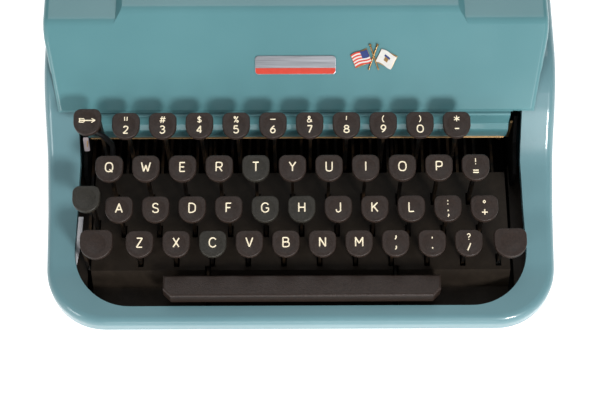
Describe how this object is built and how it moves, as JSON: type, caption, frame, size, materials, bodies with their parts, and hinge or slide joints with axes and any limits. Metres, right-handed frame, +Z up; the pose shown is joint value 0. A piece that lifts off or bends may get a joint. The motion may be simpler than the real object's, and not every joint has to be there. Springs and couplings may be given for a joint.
{
  "type": "portable typewriter",
  "caption": "Portable manual typewriter with enamelled casing, hinged ribbon cover, keys on pivoting levers, type basket, and a sliding carriage with platen, knobs and return lever",
  "frame": {"origin": "under the middle of the typewriter, on the surface that its feet stand on", "axes": "+X to the typist's right, along the platen; +Y away from the typist; +Z up"},
  "size_m": [0.32, 0.287, 0.14],
  "materials": {
    "teal_enamel": "glossy stove enamel",
    "black_lacquer": "satin black lacquer",
    "foot_rubber": "matt",
    "blued_steel": "brushed",
    "ground_steel": "ground and oiled",
    "grey_enamel": "glossy stove enamel",
    "platen_rubber": "satin",
    "chrome_plate": "polished",
    "ribbon_fabric": "woven ribbon on a black spool",
    "bar_plastic": "semi-gloss moulding",
    "key_plastic": "semi-gloss moulding"
  },
  "bodies": {
    "frame": {"body_shell": "teal_enamel", "front_apron": "teal_enamel", "base_frame": "black_lacquer", "rubber_feet": "foot_rubber", "keyboard_plate": "black_lacquer", "carriage_rail": "ground_steel"},
    "cover": {"ribbon_cover": "teal_enamel"},
    "basket": {"type_basket": "blued_steel"},
    "carriage": {"carriage_frame": "grey_enamel", "paper_table": "grey_enamel"},
    "roller": {"platen": "platen_rubber"},
    "line_lever": {"return_lever": "chrome_plate"},
    "left_reel": {"spool_left": "ribbon_fabric"},
    "right_reel": {"spool_right": "ribbon_fabric"},
    "space": {"space_bar": "bar_plastic"},
    "shift": {"shift_keys": "key_plastic"},
    "lock": {"shift_lock_key": "key_plastic"},
    "back": {"backspace_key": "key_plastic"},
    "lever_2": {"key_2": "key_plastic"},
    "lever_3": {"key_3": "key_plastic"},
    "lever_4": {"key_4": "key_plastic"},
    "lever_5": {"key_5": "key_plastic"},
    "lever_6": {"key_6": "key_plastic"},
    "lever_7": {"key_7": "key_plastic"},
    "lever_8": {"key_8": "key_plastic"},
    "lever_9": {"key_9": "key_plastic"},
    "lever_0": {"key_0": "key_plastic"},
    "lever_hyphen": {"key_hyphen": "key_plastic"},
    "lever_q": {"key_q": "key_plastic"},
    "lever_w": {"key_w": "key_plastic"},
    "lever_e": {"key_e": "key_plastic"},
    "lever_r": {"key_r": "key_plastic"},
    "lever_t": {"key_t": "key_plastic"},
    "lever_y": {"key_y": "key_plastic"},
    "lever_u": {"key_u": "key_plastic"},
    "lever_i": {"key_i": "key_plastic"},
    "lever_o": {"key_o": "key_plastic"},
    "lever_p": {"key_p": "key_plastic"},
    "lever_equals": {"key_equals": "key_plastic"},
    "lever_a": {"key_a": "key_plastic"},
    "lever_s": {"key_s": "key_plastic"},
    "lever_d": {"key_d": "key_plastic"},
    "lever_f": {"key_f": "key_plastic"},
    "lever_g": {"key_g": "key_plastic"},
    "lever_h": {"key_h": "key_plastic"},
    "lever_j": {"key_j": "key_plastic"},
    "lever_k": {"key_k": "key_plastic"},
    "lever_l": {"key_l": "key_plastic"},
    "lever_semicolon": {"key_semicolon": "key_plastic"},
    "lever_plus": {"key_plus": "key_plastic"},
    "lever_z": {"key_z": "key_plastic"},
    "lever_x": {"key_x": "key_plastic"},
    "lever_c": {"key_c": "key_plastic"},
    "lever_v": {"key_v": "key_plastic"},
    "lever_b": {"key_b": "key_plastic"},
    "lever_n": {"key_n": "key_plastic"},
    "lever_m": {"key_m": "key_plastic"},
    "lever_comma": {"key_comma": "key_plastic"},
    "lever_period": {"key_period": "key_plastic"},
    "lever_slash": {"key_slash": "key_plastic"}
  },
  "joints": [
    {"name": "backspace_press", "type": "hinge", "parent": "frame", "child": "back", "pos_m": [0, 0.06, 0.027], "axis": [1, 0, 0], "range_deg": [0, 4.2], "stiffness_Nm_per_rad": 0.05, "springref_deg": -22.92},
    {"name": "carriage_travel", "type": "slide", "parent": "frame", "child": "carriage", "axis": [1, 0, 0], "range_m": [-0.1, 0.1]},
    {"name": "cover_lift", "type": "hinge", "parent": "frame", "child": "cover", "pos_m": [0, 0.019, 0.0945], "axis": [-1, 0, 0], "range_deg": [0, 50]},
    {"name": "platen_turn", "type": "hinge", "parent": "carriage", "child": "roller", "pos_m": [0, 0.046, 0.106], "axis": [1, 0, 0], "continuous": true},
    {"name": "return_lever_swing", "type": "hinge", "parent": "carriage", "child": "line_lever", "pos_m": [-0.1345, 0.08, 0.1235], "axis": [0, 0, 1], "range_deg": [0, 35], "stiffness_Nm_per_rad": 0.03, "springref_deg": -11.46},
    {"name": "shift_lock_press", "type": "hinge", "parent": "frame", "child": "lock", "pos_m": [0, 0.06, 0.027], "axis": [1, 0, 0], "range_deg": [0, 4], "stiffness_Nm_per_rad": 0.05, "springref_deg": -22.92},
    {"name": "shift_press", "type": "hinge", "parent": "frame", "child": "shift", "pos_m": [0, 0.06, 0.027], "axis": [1, 0, 0], "range_deg": [0, 4.5], "stiffness_Nm_per_rad": 0.15, "springref_deg": -28.65},
    {"name": "space_bar_press", "type": "hinge", "parent": "frame", "child": "space", "pos_m": [0, 0.06, 0.027], "axis": [1, 0, 0], "range_deg": [0, 2.5], "stiffness_Nm_per_rad": 0.2, "springref_deg": -34.38},
    {"name": "spool_left_turn", "type": "hinge", "parent": "frame", "child": "left_reel", "pos_m": [-0.1035, 0, 0.061], "axis": [0, 0, 1], "continuous": true},
    {"name": "spool_right_turn", "type": "hinge", "parent": "frame", "child": "right_reel", "pos_m": [0.1035, 0, 0.061], "axis": [0, 0, 1], "continuous": true},
    {"name": "basket_drop", "type": "slide", "parent": "frame", "child": "basket", "axis": [0, 0, 1], "range_m": [-0.0065, 0], "stiffness_N_per_m": 60, "springref_m": 0.055},
    {"name": "type_2", "type": "hinge", "parent": "frame", "child": "lever_2", "pos_m": [0, 0.06, 0.027], "axis": [1, 0, 0], "range_deg": [0, 4.5], "stiffness_Nm_per_rad": 0.05, "springref_deg": -22.92},
    {"name": "type_3", "type": "hinge", "parent": "frame", "child": "lever_3", "pos_m": [0, 0.06, 0.027], "axis": [1, 0, 0], "range_deg": [0, 4.5], "stiffness_Nm_per_rad": 0.05, "springref_deg": -22.92},
    {"name": "type_4", "type": "hinge", "parent": "frame", "child": "lever_4", "pos_m": [0, 0.06, 0.027], "axis": [1, 0, 0], "range_deg": [0, 4.5], "stiffness_Nm_per_rad": 0.05, "springref_deg": -22.92},
    {"name": "type_5", "type": "hinge", "parent": "frame", "child": "lever_5", "pos_m": [0, 0.06, 0.027], "axis": [1, 0, 0], "range_deg": [0, 4.5], "stiffness_Nm_per_rad": 0.05, "springref_deg": -22.92},
    {"name": "type_6", "type": "hinge", "parent": "frame", "child": "lever_6", "pos_m": [0, 0.06, 0.027], "axis": [1, 0, 0], "range_deg": [0, 4.5], "stiffness_Nm_per_rad": 0.05, "springref_deg": -22.92},
    {"name": "type_7", "type": "hinge", "parent": "frame", "child": "lever_7", "pos_m": [0, 0.06, 0.027], "axis": [1, 0, 0], "range_deg": [0, 4.5], "stiffness_Nm_per_rad": 0.05, "springref_deg": -22.92},
    {"name": "type_8", "type": "hinge", "parent": "frame", "child": "lever_8", "pos_m": [0, 0.06, 0.027], "axis": [1, 0, 0], "range_deg": [0, 4.5], "stiffness_Nm_per_rad": 0.05, "springref_deg": -22.92},
    {"name": "type_9", "type": "hinge", "parent": "frame", "child": "lever_9", "pos_m": [0, 0.06, 0.027], "axis": [1, 0, 0], "range_deg": [0, 4.5], "stiffness_Nm_per_rad": 0.05, "springref_deg": -22.92},
    {"name": "type_0", "type": "hinge", "parent": "frame", "child": "lever_0", "pos_m": [0, 0.06, 0.027], "axis": [1, 0, 0], "range_deg": [0, 4.5], "stiffness_Nm_per_rad": 0.05, "springref_deg": -22.92},
    {"name": "type_hyphen", "type": "hinge", "parent": "frame", "child": "lever_hyphen", "pos_m": [0, 0.06, 0.027], "axis": [1, 0, 0], "range_deg": [0, 4.5], "stiffness_Nm_per_rad": 0.05, "springref_deg": -22.92},
    {"name": "type_q", "type": "hinge", "parent": "frame", "child": "lever_q", "pos_m": [0, 0.06, 0.027], "axis": [1, 0, 0], "range_deg": [0, 4.5], "stiffness_Nm_per_rad": 0.05, "springref_deg": -22.92},
    {"name": "type_w", "type": "hinge", "parent": "frame", "child": "lever_w", "pos_m": [0, 0.06, 0.027], "axis": [1, 0, 0], "range_deg": [0, 4.5], "stiffness_Nm_per_rad": 0.05, "springref_deg": -22.92},
    {"name": "type_e", "type": "hinge", "parent": "frame", "child": "lever_e", "pos_m": [0, 0.06, 0.027], "axis": [1, 0, 0], "range_deg": [0, 4.5], "stiffness_Nm_per_rad": 0.05, "springref_deg": -22.92},
    {"name": "type_r", "type": "hinge", "parent": "frame", "child": "lever_r", "pos_m": [0, 0.06, 0.027], "axis": [1, 0, 0], "range_deg": [0, 4.5], "stiffness_Nm_per_rad": 0.05, "springref_deg": -22.92},
    {"name": "type_t", "type": "hinge", "parent": "frame", "child": "lever_t", "pos_m": [0, 0.06, 0.027], "axis": [1, 0, 0], "range_deg": [0, 4.5], "stiffness_Nm_per_rad": 0.05, "springref_deg": -22.92},
    {"name": "type_y", "type": "hinge", "parent": "frame", "child": "lever_y", "pos_m": [0, 0.06, 0.027], "axis": [1, 0, 0], "range_deg": [0, 4.5], "stiffness_Nm_per_rad": 0.05, "springref_deg": -22.92},
    {"name": "type_u", "type": "hinge", "parent": "frame", "child": "lever_u", "pos_m": [0, 0.06, 0.027], "axis": [1, 0, 0], "range_deg": [0, 4.5], "stiffness_Nm_per_rad": 0.05, "springref_deg": -22.92},
    {"name": "type_i", "type": "hinge", "parent": "frame", "child": "lever_i", "pos_m": [0, 0.06, 0.027], "axis": [1, 0, 0], "range_deg": [0, 4.5], "stiffness_Nm_per_rad": 0.05, "springref_deg": -22.92},
    {"name": "type_o", "type": "hinge", "parent": "frame", "child": "lever_o", "pos_m": [0, 0.06, 0.027], "axis": [1, 0, 0], "range_deg": [0, 4.5], "stiffness_Nm_per_rad": 0.05, "springref_deg": -22.92},
    {"name": "type_p", "type": "hinge", "parent": "frame", "child": "lever_p", "pos_m": [0, 0.06, 0.027], "axis": [1, 0, 0], "range_deg": [0, 4.5], "stiffness_Nm_per_rad": 0.05, "springref_deg": -22.92},
    {"name": "type_equals", "type": "hinge", "parent": "frame", "child": "lever_equals", "pos_m": [0, 0.06, 0.027], "axis": [1, 0, 0], "range_deg": [0, 4.5], "stiffness_Nm_per_rad": 0.05, "springref_deg": -22.92},
    {"name": "type_a", "type": "hinge", "parent": "frame", "child": "lever_a", "pos_m": [0, 0.06, 0.027], "axis": [1, 0, 0], "range_deg": [0, 4.5], "stiffness_Nm_per_rad": 0.05, "springref_deg": -22.92},
    {"name": "type_s", "type": "hinge", "parent": "frame", "child": "lever_s", "pos_m": [0, 0.06, 0.027], "axis": [1, 0, 0], "range_deg": [0, 4.5], "stiffness_Nm_per_rad": 0.05, "springref_deg": -22.92},
    {"name": "type_d", "type": "hinge", "parent": "frame", "child": "lever_d", "pos_m": [0, 0.06, 0.027], "axis": [1, 0, 0], "range_deg": [0, 4.5], "stiffness_Nm_per_rad": 0.05, "springref_deg": -22.92},
    {"name": "type_f", "type": "hinge", "parent": "frame", "child": "lever_f", "pos_m": [0, 0.06, 0.027], "axis": [1, 0, 0], "range_deg": [0, 4.5], "stiffness_Nm_per_rad": 0.05, "springref_deg": -22.92},
    {"name": "type_g", "type": "hinge", "parent": "frame", "child": "lever_g", "pos_m": [0, 0.06, 0.027], "axis": [1, 0, 0], "range_deg": [0, 4.5], "stiffness_Nm_per_rad": 0.05, "springref_deg": -22.92},
    {"name": "type_h", "type": "hinge", "parent": "frame", "child": "lever_h", "pos_m": [0, 0.06, 0.027], "axis": [1, 0, 0], "range_deg": [0, 4.5], "stiffness_Nm_per_rad": 0.05, "springref_deg": -22.92},
    {"name": "type_j", "type": "hinge", "parent": "frame", "child": "lever_j", "pos_m": [0, 0.06, 0.027], "axis": [1, 0, 0], "range_deg": [0, 4.5], "stiffness_Nm_per_rad": 0.05, "springref_deg": -22.92},
    {"name": "type_k", "type": "hinge", "parent": "frame", "child": "lever_k", "pos_m": [0, 0.06, 0.027], "axis": [1, 0, 0], "range_deg": [0, 4.5], "stiffness_Nm_per_rad": 0.05, "springref_deg": -22.92},
    {"name": "type_l", "type": "hinge", "parent": "frame", "child": "lever_l", "pos_m": [0, 0.06, 0.027], "axis": [1, 0, 0], "range_deg": [0, 4.5], "stiffness_Nm_per_rad": 0.05, "springref_deg": -22.92},
    {"name": "type_semicolon", "type": "hinge", "parent": "frame", "child": "lever_semicolon", "pos_m": [0, 0.06, 0.027], "axis": [1, 0, 0], "range_deg": [0, 4.5], "stiffness_Nm_per_rad": 0.05, "springref_deg": -22.92},
    {"name": "type_plus", "type": "hinge", "parent": "frame", "child": "lever_plus", "pos_m": [0, 0.06, 0.027], "axis": [1, 0, 0], "range_deg": [0, 4.5], "stiffness_Nm_per_rad": 0.05, "springref_deg": -22.92},
    {"name": "type_z", "type": "hinge", "parent": "frame", "child": "lever_z", "pos_m": [0, 0.06, 0.027], "axis": [1, 0, 0], "range_deg": [0, 4.5], "stiffness_Nm_per_rad": 0.05, "springref_deg": -22.92},
    {"name": "type_x", "type": "hinge", "parent": "frame", "child": "lever_x", "pos_m": [0, 0.06, 0.027], "axis": [1, 0, 0], "range_deg": [0, 4.5], "stiffness_Nm_per_rad": 0.05, "springref_deg": -22.92},
    {"name": "type_c", "type": "hinge", "parent": "frame", "child": "lever_c", "pos_m": [0, 0.06, 0.027], "axis": [1, 0, 0], "range_deg": [0, 4.5], "stiffness_Nm_per_rad": 0.05, "springref_deg": -22.92},
    {"name": "type_v", "type": "hinge", "parent": "frame", "child": "lever_v", "pos_m": [0, 0.06, 0.027], "axis": [1, 0, 0], "range_deg": [0, 4.5], "stiffness_Nm_per_rad": 0.05, "springref_deg": -22.92},
    {"name": "type_b", "type": "hinge", "parent": "frame", "child": "lever_b", "pos_m": [0, 0.06, 0.027], "axis": [1, 0, 0], "range_deg": [0, 4.5], "stiffness_Nm_per_rad": 0.05, "springref_deg": -22.92},
    {"name": "type_n", "type": "hinge", "parent": "frame", "child": "lever_n", "pos_m": [0, 0.06, 0.027], "axis": [1, 0, 0], "range_deg": [0, 4.5], "stiffness_Nm_per_rad": 0.05, "springref_deg": -22.92},
    {"name": "type_m", "type": "hinge", "parent": "frame", "child": "lever_m", "pos_m": [0, 0.06, 0.027], "axis": [1, 0, 0], "range_deg": [0, 4.5], "stiffness_Nm_per_rad": 0.05, "springref_deg": -22.92},
    {"name": "type_comma", "type": "hinge", "parent": "frame", "child": "lever_comma", "pos_m": [0, 0.06, 0.027], "axis": [1, 0, 0], "range_deg": [0, 4.5], "stiffness_Nm_per_rad": 0.05, "springref_deg": -22.92},
    {"name": "type_period", "type": "hinge", "parent": "frame", "child": "lever_period", "pos_m": [0, 0.06, 0.027], "axis": [1, 0, 0], "range_deg": [0, 4.5], "stiffness_Nm_per_rad": 0.05, "springref_deg": -22.92},
    {"name": "type_slash", "type": "hinge", "parent": "frame", "child": "lever_slash", "pos_m": [0, 0.06, 0.027], "axis": [1, 0, 0], "range_deg": [0, 4.5], "stiffness_Nm_per_rad": 0.05, "springref_deg": -22.92}
  ],
  "couplings": [
    {"joint": "basket_drop", "follows": "shift_press", "m_per_rad": -0.07639}
  ]
}
